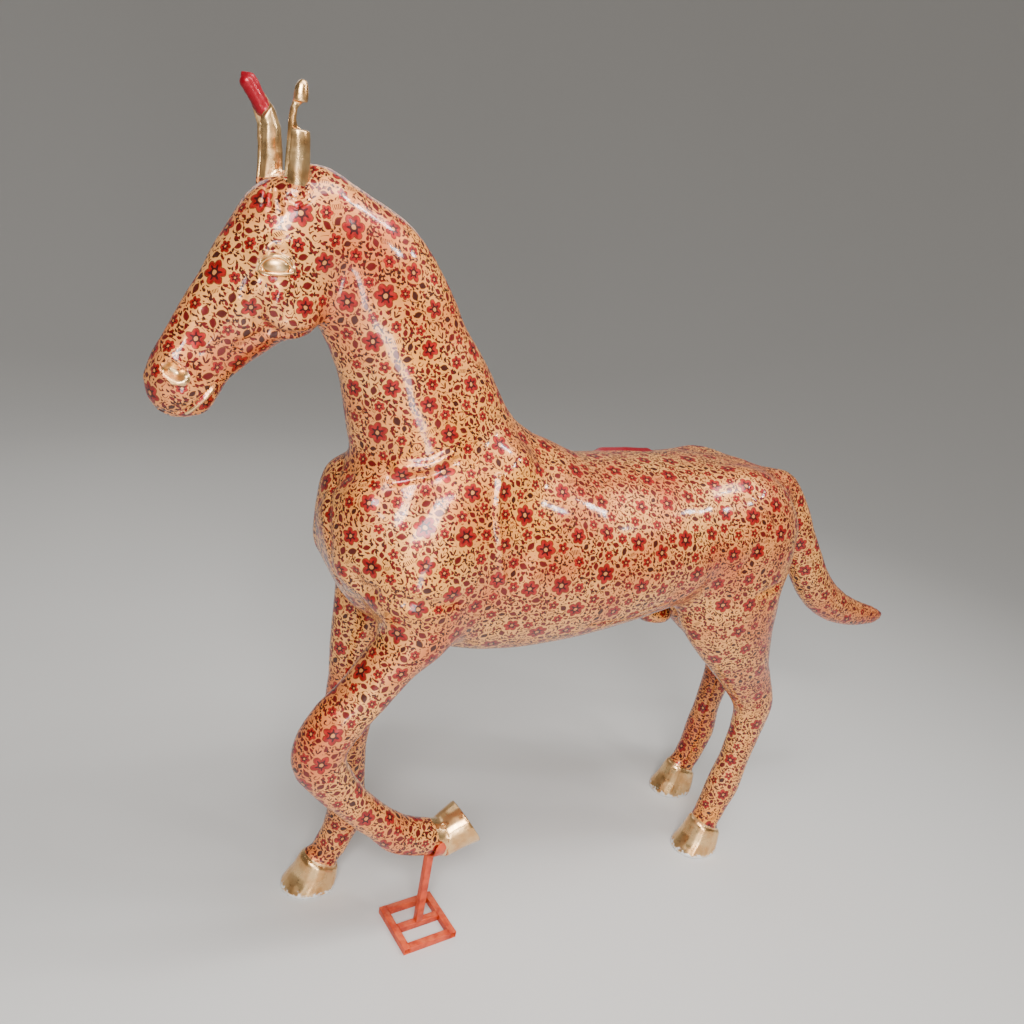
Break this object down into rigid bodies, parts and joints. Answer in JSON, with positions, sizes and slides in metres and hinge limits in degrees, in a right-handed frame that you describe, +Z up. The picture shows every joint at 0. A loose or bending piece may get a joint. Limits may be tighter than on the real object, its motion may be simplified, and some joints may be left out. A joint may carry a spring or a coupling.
{
  "type": "horse statue",
  "caption": "Life-size striding horse statue with a raised forefoot, floral lacquered skin and gilded hooves, held at the raised pastern by a small welded steel stand.",
  "frame": {"origin": "on the floor, at the middle of the whole work's bounding box", "axes": "+Z up; the horse looks along -X, its left side with the raised forefoot is at -Y"},
  "size_m": [2.4184, 0.5146, 2.021],
  "materials": {
    "lacquered_skin": "floral printed paper under clear gloss lacquer, with gilded hooves, ears and eyes",
    "painted_steel": "satin red-oxide paint over welded square tube"
  },
  "bodies": {
    "root": {"horse": "lacquered_skin", "foot_bar_front": "painted_steel", "foot_bar_rear": "painted_steel", "foot_bar_left": "painted_steel", "foot_bar_middle": "painted_steel", "foot_bar_right": "painted_steel", "post": "painted_steel", "saddle": "painted_steel"}
  },
  "joints": []
}
